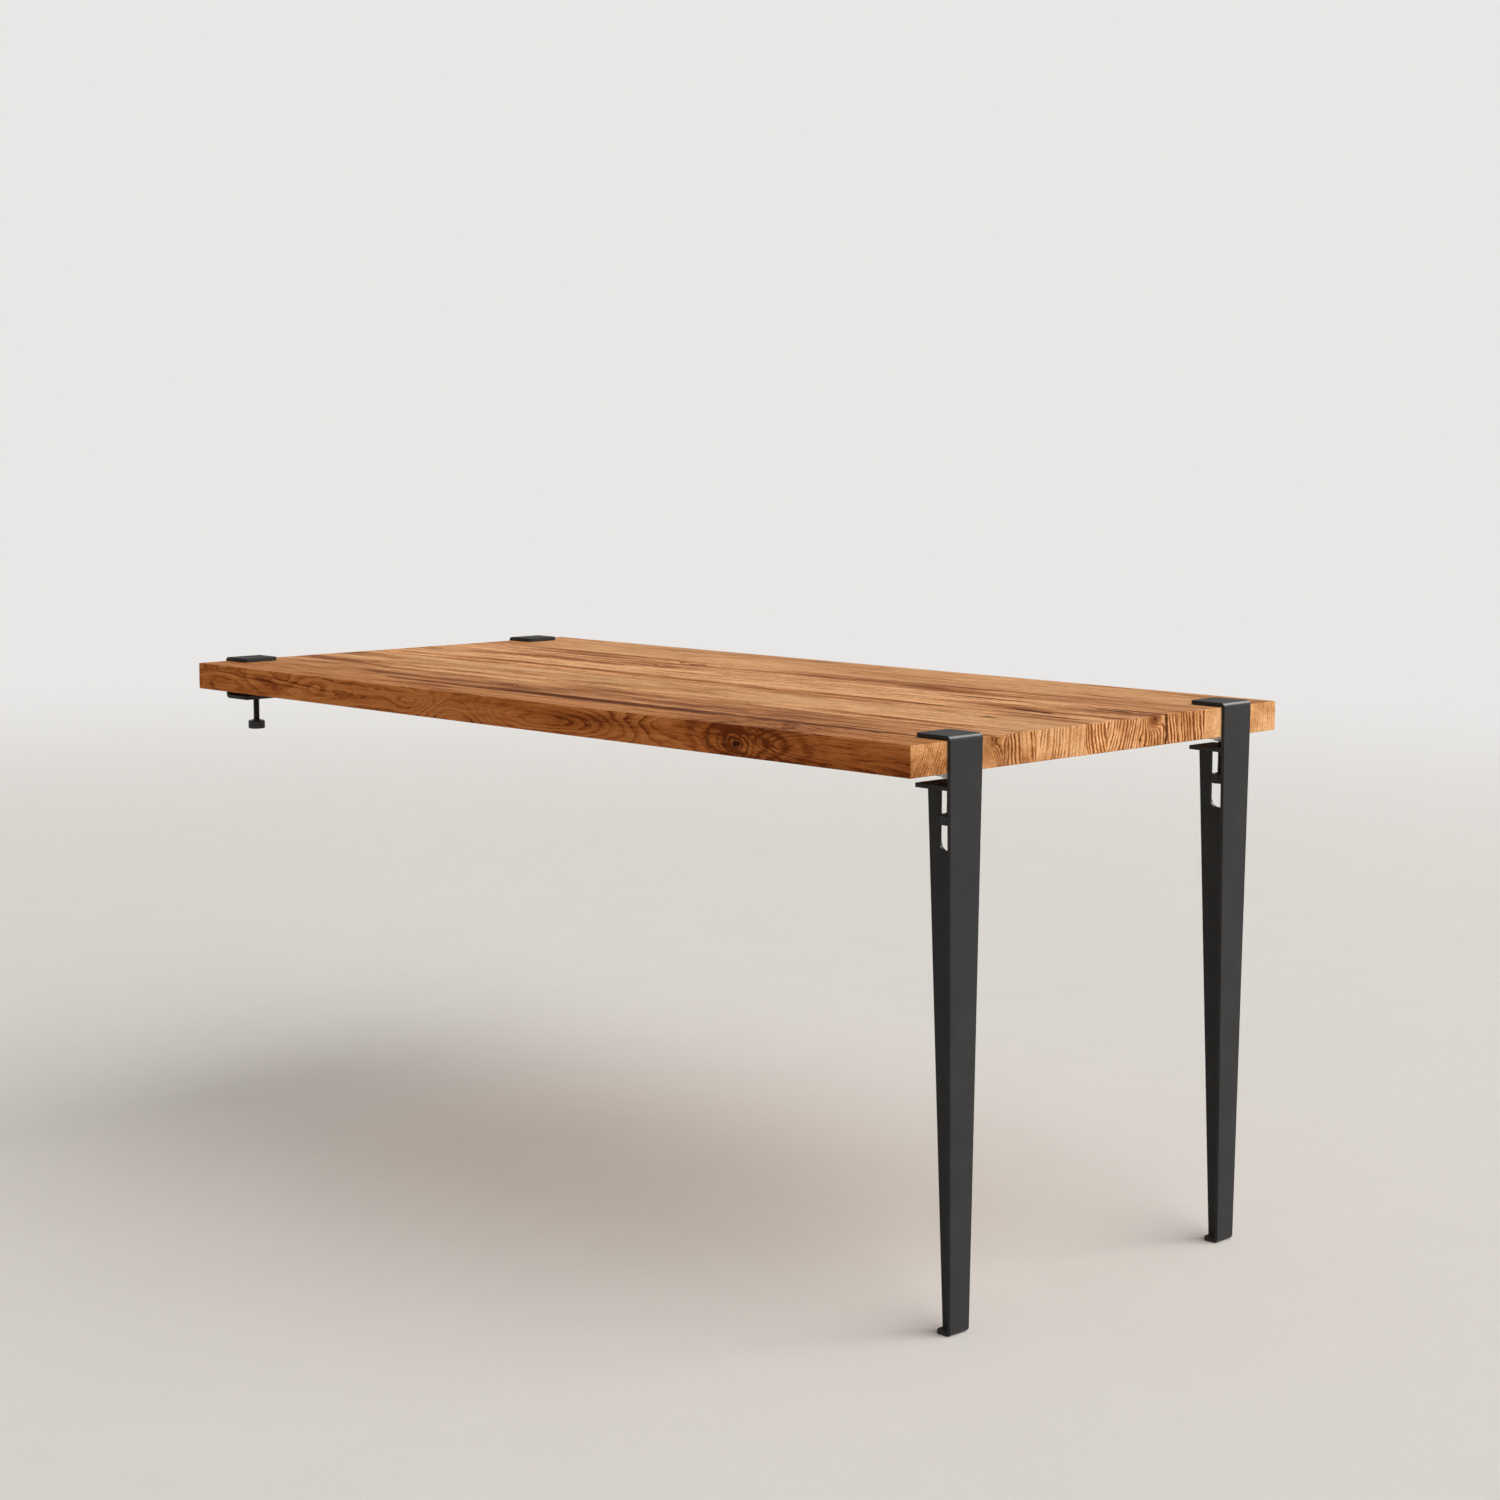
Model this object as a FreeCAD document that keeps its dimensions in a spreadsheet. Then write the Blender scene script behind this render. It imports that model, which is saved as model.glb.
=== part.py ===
# Wall-mounted dining table: an oak top gripped at the wall by two clamp brackets
# and carried at its free end by two clamp legs, each tightened by a hand screw.
# Millimetres. +X points away from the wall, +Y along the wall, +Z up.
# Origin: on the wall, midway between the brackets, at half the top's thickness.
import FreeCAD
import Part
import Sketcher
import os

# Driving dimensions, each kept in one cell of the sheet under its name.
SIZES = {
    # oak top
    "top_length": 1500,
    "top_width": 750,
    "top_thickness": 40,
    "top_arris": 1,
    # the eight full-length staves it is glued up from, left edge first, as shares of its width
    "stave_1_share": 92,
    "stave_2_share": 90,
    "stave_3_share": 52,
    "stave_4_share": 99,
    "stave_5_share": 44,
    "stave_6_share": 128,
    "stave_7_share": 81,
    "stave_8_share": 164,
    # clamp legs, each a folded and tapered steel strip with a welded rib and lower jaw
    "leg_edge_distance": 96,
    "leg_height": 750,
    "leg_plate": 5,
    "leg_top_width": 60,
    "leg_foot_width": 35,
    "leg_jaw_reach": 57,
    "leg_jaw_corner": 5,
    "foot_reach": 26,
    "foot_corner": 8,
    "lower_jaw_reach": 60,
    "leg_screw_room": 7,
    "rib_plate": 5,
    "rib_nip": 2,
    "pad_clearance": 1,
    "knob_side_room": 3,
    "knob_finger_room": 34,
    "knob_slot_corner": 13,
    # wall brackets, each a steel strip folded to a C
    "bracket_edge_distance": 84,
    "bracket_plate": 5,
    "bracket_width": 60,
    "bracket_nose": 17.5,
    "bracket_corner": 5,
    "bracket_screw_room": 5,
    "bracket_pad_clearance": 13.5,
    "wall_hole_diameter": 5.5,
    "wall_hole_spacing": 20,
    "wall_hole_countersink": 10,
    # both kinds of folded strip
    "inner_bend": 1.5,
    # protective liners between the upper jaws and the top
    "liner_thickness": 1,
    "liner_margin": 3,
    # hand screws and their pressure pads
    "thread_diameter": 10,
    "thread_play": 0.05,
    "nose_diameter": 9,
    "nose_height": 3,
    "nose_step": 1.5,
    "pad_diameter": 38,
    "pad_face": 3,
    "pad_lip": 2.8,
    "pad_edge": 1,
    "pad_play": 0.2,
    "knob_drop": 54,
    "knob_diameter": 26,
    "knob_height": 12.8,
    "knob_floor": 4,
    "knob_edge": 1.2,
    "knob_boss_step": 1.5,
    "knob_boss_height": 1.5,
    "spigot_step": 1,
}

STAVES = range(1, 9)
SIDES = {"left": -1, "right": 1}
TOUCH = 1e-4

doc = FreeCAD.newDocument("wall_dining_table")
sheet = doc.addObject("Spreadsheet::Sheet", "dim")
for row, (name, size) in enumerate(SIZES.items(), start=1):
    sheet.set(f"A{row}", name)
    sheet.set(f"B{row}", str(size))
    sheet.setAlias(f"B{row}", name)
doc.recompute()

# Places worked out from the driving dimensions, as expressions on the sheet.
ALL_SHARES = "(" + " + ".join(f"dim.stave_{n}_share" for n in STAVES) + ")"
STAVE_WIDTHS = {n: f"(dim.top_width * dim.stave_{n}_share / {ALL_SHARES})" for n in STAVES}
TOP_FACE = "dim.top_thickness / 2"
UNDERSIDE = "-dim.top_thickness / 2"
JAW_UNDERSIDE = f"({TOP_FACE} + dim.liner_thickness)"

THREAD_HOLE = "(dim.thread_diameter + 2 * dim.thread_play)"
NOSE_TOP = "-dim.pad_face"
NOSE_BOTTOM = f"({NOSE_TOP} - dim.nose_height)"
NECK_RADIUS = "(dim.nose_diameter / 2 - dim.nose_step)"
PAD_HEIGHT = "(dim.pad_face + dim.nose_height + dim.pad_play + dim.pad_lip)"
SHOULDER = f"-({PAD_HEIGHT} + dim.pad_play)"
KNOB_TOP = "-dim.knob_drop"
KNOB_BOTTOM = f"({KNOB_TOP} - dim.knob_height)"
BOSS_TOP = f"({KNOB_TOP} + dim.knob_boss_height)"
BOSS_RADIUS = "(dim.thread_diameter / 2 + dim.knob_boss_step)"
SPIGOT_RADIUS = "(dim.thread_diameter / 2 - dim.spigot_step)"
SPIGOT_BOTTOM = f"({KNOB_BOTTOM} + dim.knob_floor)"

LEG_BEND = "(dim.inner_bend + dim.leg_plate)"
LEG_TOP = f"({JAW_UNDERSIDE} + dim.leg_plate)"
FLOOR = f"({LEG_TOP} - dim.leg_height)"
FOOT_TOP = f"({FLOOR} + dim.leg_plate)"
LOWER_JAW_TOP = f"({UNDERSIDE} - {PAD_HEIGHT} - dim.leg_screw_room)"
LOWER_JAW_BOTTOM = f"({LOWER_JAW_TOP} - dim.leg_plate)"
TAPER_TOP = f"({LEG_TOP} - {LEG_BEND})"
TAPER_FOOT = f"({FLOOR} + {LEG_BEND})"
TAPER_RATE = f"((dim.leg_top_width - dim.leg_foot_width) / ({TAPER_TOP} - {TAPER_FOOT}))"
LOWER_JAW_WIDTH = f"(dim.leg_foot_width + {TAPER_RATE} * ({LOWER_JAW_BOTTOM} - {TAPER_FOOT}))"
LEG_FACE = "(dim.bracket_plate + dim.top_length + dim.leg_plate)"
LEG_OFFSET = "(dim.top_width / 2 - dim.leg_edge_distance)"
LEG_SETBACK = "(dim.leg_plate + dim.pad_clearance + dim.pad_diameter / 2)"
SLOT_BACK = f"(-{LEG_SETBACK} - dim.knob_diameter / 2 - dim.knob_side_room)"
SLOT_BOTTOM = f"({UNDERSIDE} + {KNOB_BOTTOM} - dim.knob_finger_room)"

BRACKET_BEND = "(dim.inner_bend + dim.bracket_plate)"
BRACKET_TOP = f"({JAW_UNDERSIDE} + dim.bracket_plate)"
BRACKET_JAW_TOP = f"({UNDERSIDE} - {PAD_HEIGHT} - dim.bracket_screw_room)"
BRACKET_BOTTOM = f"({BRACKET_JAW_TOP} - dim.bracket_plate)"
BRACKET_OFFSET = "(dim.top_width / 2 - dim.bracket_edge_distance)"
BRACKET_SETBACK = "(dim.bracket_plate + dim.bracket_pad_clearance + dim.pad_diameter / 2)"
BRACKET_REACH = f"({BRACKET_SETBACK} + dim.bracket_nose)"


def measure(expression):
    """The expression's value now."""
    return float(sheet.evalExpression(str(expression)))


def new_body(label, x="0", y="0", z="0"):
    """An empty body with its own label, standing at the place that the expressions give."""
    body = doc.addObject("PartDesign::Body", label)
    body.Label = label
    for axis, place in (("x", x), ("y", y), ("z", z)):
        body.setExpression(f"Placement.Base.{axis}", place)
    return body


def new_sketch(body, plane):
    """A sketch on one of the body's own origin planes."""
    sketch = body.newObject("Sketcher::SketchObject", f"{body.Name}_{plane}")
    support = next(f for f in body.Origin.OriginFeatures if f.Role == plane)
    sketch.AttachmentSupport = [(support, "")]
    sketch.MapMode = "FlatFace"
    return sketch


def bind_point(sketch, geometry, point, place):
    """Hold a point of the sketch's geometry at a place given by two expressions."""
    for kind, expression in zip(("DistanceX", "DistanceY"), place):
        limit = Sketcher.Constraint(kind, -1, 1, geometry, point, measure(expression))
        index = sketch.addConstraint(limit)
        sketch.setExpression(f"Constraints[{index}]", expression)


def draw_outline(sketch, corners):
    """A closed outline of straight lines through corners given as pairs of expressions."""
    first = sketch.GeometryCount
    places = [FreeCAD.Vector(measure(u), measure(v), 0) for u, v in corners]
    for start, end in zip(places, places[1:] + places[:1]):
        sketch.addGeometry(Part.LineSegment(start, end))
    for k, corner in enumerate(corners):
        following = first + (k + 1) % len(corners)
        sketch.addConstraint(Sketcher.Constraint("Coincident", first + k, 2, following, 1))
        bind_point(sketch, first + k, 1, corner)


def draw_circle(sketch, centre, diameter):
    """A circle whose centre and diameter are expressions."""
    middle = FreeCAD.Vector(measure(centre[0]), measure(centre[1]), 0)
    circle = Part.Circle(middle, FreeCAD.Vector(0, 0, 1), measure(diameter) / 2)
    index = sketch.addGeometry(circle)
    bind_point(sketch, index, 3, centre)
    size = sketch.addConstraint(Sketcher.Constraint("Diameter", index, measure(diameter)))
    sketch.setExpression(f"Constraints[{size}]", diameter)


def add_pad(body, sketch, length, symmetric=True):
    pad = body.newObject("PartDesign::Pad", f"{body.Name}_pad")
    pad.Profile = sketch
    pad.SideType = "Symmetric" if symmetric else "One side"
    pad.setExpression("Length", length)
    doc.recompute()
    return pad


def add_pocket(body, sketch, length=None, symmetric=False, reverse=False):
    """Cut the sketch's shape out, to a length or right through, and see that it cut something."""
    before = body.Shape.Volume
    pocket = body.newObject("PartDesign::Pocket", f"{body.Name}_pocket")
    pocket.Profile = sketch
    pocket.SideType = "Symmetric" if symmetric else "One side"
    pocket.Reversed = reverse
    pocket.Type = "Length" if length else "ThroughAll"
    if length:
        pocket.setExpression("Length", length)
    doc.recompute()
    if body.Shape.Volume >= before:
        raise RuntimeError(f"{pocket.Name} cuts nothing")
    return pocket


def add_revolution(body, corners):
    """A turned piece: a half section in the XZ plane, spun about the vertical axis."""
    sketch = new_sketch(body, "XZ_Plane")
    draw_outline(sketch, corners)
    turned = body.newObject("PartDesign::Revolution", f"{body.Name}_turned")
    turned.Profile = sketch
    turned.ReferenceAxis = (sketch, ["V_Axis"])
    doc.recompute()
    return turned


def edges_at(feature, axis, places):
    """Names of the feature's straight edges along one axis that pass through any of the places.

    A place maps the other axes to their values; an axis that is left out may have any value.
    """
    names = []
    for index, edge in enumerate(feature.Shape.Edges, start=1):
        if edge.Curve.TypeId != "Part::GeomLine":
            continue
        along = edge.Vertexes[-1].Point - edge.Vertexes[0].Point
        if abs(abs(getattr(along, axis)) - along.Length) > TOUCH:
            continue
        middle = edge.CenterOfMass
        for place in places:
            if all(abs(getattr(middle, key) - at) < TOUCH for key, at in place.items()):
                names.append(f"Edge{index}")
                break
    return names


def circles_at(feature, axis, at):
    """Names of the feature's circular edges that lie at one value of an axis."""
    return [
        f"Edge{index}"
        for index, edge in enumerate(feature.Shape.Edges, start=1)
        if edge.Curve.TypeId == "Part::GeomCircle"
        and edge.isClosed()
        and abs(getattr(edge.CenterOfMass, axis) - at) < TOUCH
    ]


def add_fillet(body, feature, edges, radius):
    fillet = body.newObject("PartDesign::Fillet", f"{body.Name}_fillet")
    fillet.Base = (feature, edges)
    fillet.setExpression("Radius", radius)
    doc.recompute()
    return fillet


def add_chamfer(body, feature, edges, size):
    chamfer = body.newObject("PartDesign::Chamfer", f"{body.Name}_chamfer")
    chamfer.Base = (feature, edges)
    chamfer.setExpression("Size", size)
    doc.recompute()
    return chamfer


def make_stave(number):
    """One oak stave. The arris is eased only where the edge is on the outside of the top."""
    before = " + ".join(["0"] + [STAVE_WIDTHS[n] for n in STAVES if n < number])
    body = new_body(
        f"tabletop_stave_{number}",
        x="dim.bracket_plate",
        y=f"{before} - dim.top_width / 2",
        z=UNDERSIDE,
    )
    board = body.newObject("PartDesign::AdditiveBox", f"{body.Name}_board")
    board.setExpression("Length", "dim.top_length")
    board.setExpression("Width", STAVE_WIDTHS[number])
    board.setExpression("Height", "dim.top_thickness")
    doc.recompute()
    length = measure("dim.top_length")
    width = measure(STAVE_WIDTHS[number])
    height = measure("dim.top_thickness")
    faces = [{"z": 0}, {"z": height}]
    edges = edges_at(board, "y", [{"x": x, **face} for x in (0, length) for face in faces])
    outside = {STAVES[0]: 0, STAVES[-1]: width}
    if number in outside:
        side = {"y": outside[number]}
        edges += edges_at(board, "x", [{**side, **face} for face in faces])
        edges += edges_at(board, "z", [side])
    add_fillet(body, board, edges, "dim.top_arris")
    return body


def make_leg_blade(side, place):
    """The leg's folded strip: upper jaw, tapered front and foot in one piece."""
    body = new_body(f"{side}_leg_blade", *place)
    profile = new_sketch(body, "XZ_Plane")
    draw_outline(
        profile,
        [
            ("-dim.leg_jaw_reach", LEG_TOP),
            ("0", LEG_TOP),
            ("0", FLOOR),
            ("-dim.foot_reach", FLOOR),
            ("-dim.foot_reach", FOOT_TOP),
            ("-dim.leg_plate", FOOT_TOP),
            ("-dim.leg_plate", JAW_UNDERSIDE),
            ("-dim.leg_jaw_reach", JAW_UNDERSIDE),
        ],
    )
    strip = add_pad(body, profile, "dim.leg_top_width")
    outer = [{"x": 0, "z": measure(LEG_TOP)}, {"x": 0, "z": measure(FLOOR)}]
    strip = add_fillet(body, strip, edges_at(strip, "y", outer), LEG_BEND)
    inside = -measure("dim.leg_plate")
    inner = [{"x": inside, "z": measure(JAW_UNDERSIDE)}, {"x": inside, "z": measure(FOOT_TOP)}]
    strip = add_fillet(body, strip, edges_at(strip, "y", inner), "dim.inner_bend")
    waste = new_sketch(body, "YZ_Plane")
    for sign in ("-", ""):
        draw_outline(
            waste,
            [
                (f"{sign}dim.leg_top_width / 2", TAPER_TOP),
                (f"{sign}dim.leg_foot_width / 2", TAPER_FOOT),
                (f"{sign}dim.leg_foot_width / 2", f"{FLOOR} - dim.leg_plate"),
                (f"{sign}(dim.leg_top_width / 2 + dim.leg_plate)", f"{FLOOR} - dim.leg_plate"),
                (f"{sign}(dim.leg_top_width / 2 + dim.leg_plate)", TAPER_TOP),
            ],
        )
    strip = add_pocket(body, waste, symmetric=True)
    jaw_end = [{"x": -measure("dim.leg_jaw_reach")}]
    strip = add_fillet(body, strip, edges_at(strip, "z", jaw_end), "dim.leg_jaw_corner")
    foot_end = [{"x": -measure("dim.foot_reach")}]
    add_fillet(body, strip, edges_at(strip, "z", foot_end), "dim.foot_corner")
    return body


def make_leg_rib(side, place):
    """The plate that stiffens the leg, cut away beside the blade for the knob."""
    body = new_body(f"{side}_leg_rib", *place)
    outline = new_sketch(body, "XZ_Plane")
    draw_outline(
        outline,
        [
            ("-dim.leg_plate", SLOT_BOTTOM),
            ("-dim.leg_plate", f"{FOOT_TOP} + dim.inner_bend + dim.rib_nip"),
            ("-dim.leg_plate - dim.inner_bend - dim.rib_nip", FOOT_TOP),
            ("-dim.foot_reach", FOOT_TOP),
            ("-dim.lower_jaw_reach", LOWER_JAW_BOTTOM),
            (SLOT_BACK, LOWER_JAW_BOTTOM),
            (SLOT_BACK, SLOT_BOTTOM),
        ],
    )
    plate = add_pad(body, outline, "dim.rib_plate")
    slot_corner = [{"x": measure(SLOT_BACK), "z": measure(SLOT_BOTTOM)}]
    add_fillet(body, plate, edges_at(plate, "y", slot_corner), "dim.knob_slot_corner")
    return body


def make_leg_lower_jaw(side, place):
    """The plate under the top, tapped for the hand screw."""
    body = new_body(f"{side}_leg_lower_jaw", place[0], place[1], LOWER_JAW_BOTTOM)
    outline = new_sketch(body, "XY_Plane")
    draw_outline(
        outline,
        [
            ("-dim.leg_plate", f"-{LOWER_JAW_WIDTH} / 2"),
            ("-dim.leg_plate", f"{LOWER_JAW_WIDTH} / 2"),
            ("-dim.lower_jaw_reach", f"{LOWER_JAW_WIDTH} / 2"),
            ("-dim.lower_jaw_reach", f"-{LOWER_JAW_WIDTH} / 2"),
        ],
    )
    draw_circle(outline, (f"-{LEG_SETBACK}", "0"), THREAD_HOLE)
    plate = add_pad(body, outline, "dim.leg_plate", symmetric=False)
    inner_end = [{"x": -measure("dim.lower_jaw_reach")}]
    add_fillet(body, plate, edges_at(plate, "z", inner_end), "dim.leg_jaw_corner")
    return body


def make_liner(label, x, y, length, width):
    """A thin sheet that keeps an upper jaw off the wood."""
    body = new_body(label, x, f"{y} - ({width}) / 2", TOP_FACE)
    sheet_of_liner = body.newObject("PartDesign::AdditiveBox", f"{label}_sheet")
    sheet_of_liner.setExpression("Length", length)
    sheet_of_liner.setExpression("Width", width)
    sheet_of_liner.setExpression("Height", "dim.liner_thickness")
    doc.recompute()
    return body


def make_bracket_plate(side, place):
    """The wall bracket's folded C, with wall-screw holes in its back and a tapped lower jaw."""
    body = new_body(f"{side}_bracket_plate", *place)
    profile = new_sketch(body, "XZ_Plane")
    draw_outline(
        profile,
        [
            ("0", BRACKET_TOP),
            (BRACKET_REACH, BRACKET_TOP),
            (BRACKET_REACH, JAW_UNDERSIDE),
            ("dim.bracket_plate", JAW_UNDERSIDE),
            ("dim.bracket_plate", BRACKET_JAW_TOP),
            (BRACKET_REACH, BRACKET_JAW_TOP),
            (BRACKET_REACH, BRACKET_BOTTOM),
            ("0", BRACKET_BOTTOM),
        ],
    )
    strip = add_pad(body, profile, "dim.bracket_width")
    outer = [{"x": 0, "z": measure(BRACKET_TOP)}, {"x": 0, "z": measure(BRACKET_BOTTOM)}]
    strip = add_fillet(body, strip, edges_at(strip, "y", outer), BRACKET_BEND)
    inside = measure("dim.bracket_plate")
    inner = [{"x": inside, "z": measure(JAW_UNDERSIDE)}, {"x": inside, "z": measure(BRACKET_JAW_TOP)}]
    strip = add_fillet(body, strip, edges_at(strip, "y", inner), "dim.inner_bend")
    jaw_ends = [{"x": measure(BRACKET_REACH)}]
    strip = add_fillet(body, strip, edges_at(strip, "z", jaw_ends), "dim.bracket_corner")
    wall_holes = new_sketch(body, "YZ_Plane")
    for sign in ("-", ""):
        draw_circle(wall_holes, ("0", f"{sign}dim.wall_hole_spacing / 2"), "dim.wall_hole_diameter")
    strip = add_pocket(body, wall_holes, "dim.bracket_plate", reverse=True)
    countersink = "(dim.wall_hole_countersink - dim.wall_hole_diameter) / 2"
    strip = add_chamfer(body, strip, circles_at(strip, "x", inside), countersink)
    thread = new_sketch(body, "XY_Plane")
    draw_circle(thread, (BRACKET_SETBACK, "0"), THREAD_HOLE)
    add_pocket(body, thread)
    return body


def make_hand_screw(owner, place):
    """Spindle, knurled knob and pressure pad on one vertical axis, level with the top's underside."""
    spindle = new_body(f"{owner}_spindle", *place)
    add_revolution(
        spindle,
        [
            ("0", NOSE_TOP),
            ("dim.nose_diameter / 2", NOSE_TOP),
            ("dim.nose_diameter / 2", NOSE_BOTTOM),
            (NECK_RADIUS, NOSE_BOTTOM),
            (NECK_RADIUS, SHOULDER),
            ("dim.thread_diameter / 2", SHOULDER),
            ("dim.thread_diameter / 2", BOSS_TOP),
            (SPIGOT_RADIUS, BOSS_TOP),
            (SPIGOT_RADIUS, SPIGOT_BOTTOM),
            ("0", SPIGOT_BOTTOM),
        ],
    )
    knob = new_body(f"{owner}_knob", *place)
    add_revolution(
        knob,
        [
            (SPIGOT_RADIUS, BOSS_TOP),
            (BOSS_RADIUS, BOSS_TOP),
            (BOSS_RADIUS, KNOB_TOP),
            ("dim.knob_diameter / 2 - dim.knob_edge", KNOB_TOP),
            ("dim.knob_diameter / 2", f"{KNOB_TOP} - dim.knob_edge"),
            ("dim.knob_diameter / 2", f"{KNOB_BOTTOM} + dim.knob_edge"),
            ("dim.knob_diameter / 2 - dim.knob_edge", KNOB_BOTTOM),
            ("0", KNOB_BOTTOM),
            ("0", SPIGOT_BOTTOM),
            (SPIGOT_RADIUS, SPIGOT_BOTTOM),
        ],
    )
    pad = new_body(f"{owner}_pressure_pad", *place)
    lip = f"{NECK_RADIUS} + dim.pad_play"
    socket = "dim.nose_diameter / 2 + dim.pad_play"
    add_revolution(
        pad,
        [
            ("0", "0"),
            ("dim.pad_diameter / 2 - dim.pad_edge", "0"),
            ("dim.pad_diameter / 2", "-dim.pad_edge"),
            ("dim.pad_diameter / 2", f"-{PAD_HEIGHT} + dim.pad_edge"),
            ("dim.pad_diameter / 2 - dim.pad_edge", f"-{PAD_HEIGHT}"),
            (lip, f"-{PAD_HEIGHT}"),
            (lip, f"{NOSE_BOTTOM} - dim.pad_play"),
            (socket, f"{NOSE_BOTTOM} - dim.pad_play"),
            (socket, NOSE_TOP),
            ("0", NOSE_TOP),
        ],
    )
    return [spindle, knob, pad]


pieces = [make_stave(number) for number in STAVES]
for side, sign in SIDES.items():
    leg_y = f"{sign} * {LEG_OFFSET}"
    at_leg = (LEG_FACE, leg_y, "0")
    pieces.append(make_leg_blade(side, at_leg))
    pieces.append(make_leg_rib(side, at_leg))
    pieces.append(make_leg_lower_jaw(side, at_leg))
    pieces.append(
        make_liner(
            f"{side}_leg_jaw_liner",
            f"{LEG_FACE} - dim.leg_jaw_reach + dim.liner_margin",
            leg_y,
            f"dim.leg_jaw_reach - {LEG_BEND} - 2 * dim.liner_margin",
            "dim.leg_top_width - 2 * dim.liner_margin",
        )
    )
    pieces += make_hand_screw(f"{side}_leg", (f"{LEG_FACE} - {LEG_SETBACK}", leg_y, UNDERSIDE))

    bracket_y = f"{sign} * {BRACKET_OFFSET}"
    pieces.append(make_bracket_plate(side, ("0", bracket_y, "0")))
    pieces.append(
        make_liner(
            f"{side}_bracket_jaw_liner",
            f"{BRACKET_BEND} + dim.liner_margin",
            bracket_y,
            f"{BRACKET_REACH} - {BRACKET_BEND} - 2 * dim.liner_margin",
            "dim.bracket_width - 2 * dim.liner_margin",
        )
    )
    pieces += make_hand_screw(f"{side}_bracket", (BRACKET_SETBACK, bracket_y, UNDERSIDE))

doc.recompute()
for item in doc.Objects:
    if {"Invalid", "Error"} & set(item.State):
        raise RuntimeError(f"{item.Name} failed: {item.State}")
for piece in pieces:
    if piece.Shape.isNull() or not piece.Shape.isValid() or len(piece.Shape.Solids) != 1:
        raise RuntimeError(f"{piece.Label} is not one sound solid")

os.makedirs("parts", exist_ok=True)
for piece in pieces:
    piece.Shape.exportStep(f"parts/{piece.Label}.step")
print(f"{len(pieces)} pieces, floor at {measure(FLOOR):g} mm")
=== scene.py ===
# %% [markdown]
# # A wall-mounted oak table
# The table is a thick oak top. Two black clamp brackets hold its fixed end, and two black clamp
# legs carry its free end. The solids come packed as a fixed frame, in metres, so this script
# only adds what the eye sees: finishes, threads, knurls, light and a camera.

# %% Load the frame
import bmesh
import bpy
import math
from mathutils import Matrix, Vector


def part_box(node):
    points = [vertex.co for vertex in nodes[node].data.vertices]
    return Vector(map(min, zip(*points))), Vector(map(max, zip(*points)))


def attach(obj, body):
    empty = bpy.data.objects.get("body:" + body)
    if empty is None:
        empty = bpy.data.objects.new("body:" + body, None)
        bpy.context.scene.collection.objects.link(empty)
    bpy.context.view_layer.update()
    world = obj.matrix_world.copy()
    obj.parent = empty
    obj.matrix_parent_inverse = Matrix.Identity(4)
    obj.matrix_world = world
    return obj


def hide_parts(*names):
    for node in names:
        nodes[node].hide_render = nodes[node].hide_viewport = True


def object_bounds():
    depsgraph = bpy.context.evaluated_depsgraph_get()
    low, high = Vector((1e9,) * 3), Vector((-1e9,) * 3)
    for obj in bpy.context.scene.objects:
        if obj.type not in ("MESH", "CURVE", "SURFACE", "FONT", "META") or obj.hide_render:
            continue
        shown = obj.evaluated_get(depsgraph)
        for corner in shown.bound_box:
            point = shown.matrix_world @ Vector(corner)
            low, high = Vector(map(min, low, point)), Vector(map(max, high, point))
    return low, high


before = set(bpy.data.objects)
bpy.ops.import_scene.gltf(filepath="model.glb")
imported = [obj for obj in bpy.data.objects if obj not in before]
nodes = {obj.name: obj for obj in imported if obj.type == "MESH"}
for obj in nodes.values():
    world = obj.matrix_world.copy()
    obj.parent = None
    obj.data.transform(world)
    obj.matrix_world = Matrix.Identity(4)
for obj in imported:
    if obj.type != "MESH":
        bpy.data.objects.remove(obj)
cad_box = [list(corner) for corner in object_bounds()]
scene = bpy.context.scene
scene.view_settings.view_transform = "Standard"
print("nodes:", len(nodes), "box:", [[round(v, 4) for v in corner] for corner in cad_box])

# %% [markdown]
# ## The camera
# The picture was taken from the table's free corner, a little above the top. The camera could be
# set by eye, but its place was worked out from the corners of the top and the edges of the legs,
# so straight lines in the render fall where they fall in the picture.

# %% Set the camera
CAMERA_PLACE = Vector((3.67222, -2.79120, 0.40853))
CAMERA_YAW = math.radians(135.254)
CAMERA_PITCH = math.radians(6.9392)
CAMERA_ROLL = math.radians(0.1555)
CAMERA_LENS = 66.064

ahead = Vector((
    math.cos(CAMERA_YAW) * math.cos(CAMERA_PITCH),
    math.sin(CAMERA_YAW) * math.cos(CAMERA_PITCH),
    -math.sin(CAMERA_PITCH),
))
level = Vector((math.sin(CAMERA_YAW), -math.cos(CAMERA_YAW), 0))
upward = level.cross(ahead)
right = level * math.cos(CAMERA_ROLL) + upward * math.sin(CAMERA_ROLL)
camera = bpy.data.objects.new("camera", bpy.data.cameras.new("camera"))
camera.data.lens = CAMERA_LENS
camera.matrix_world = Matrix.Translation(CAMERA_PLACE) @ Matrix((
    right, right.cross(ahead), -ahead)).transposed().to_4x4()
scene.collection.objects.link(camera)
scene.camera = camera
print("camera at", [round(v, 3) for v in CAMERA_PLACE])

# %% [markdown]
# ## A short hand for node trees
# Finishes and threads are node trees, and naming every node and link would bury the idea. This
# helper makes a node from a few words and returns its output, so a tree reads like a formula.


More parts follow.
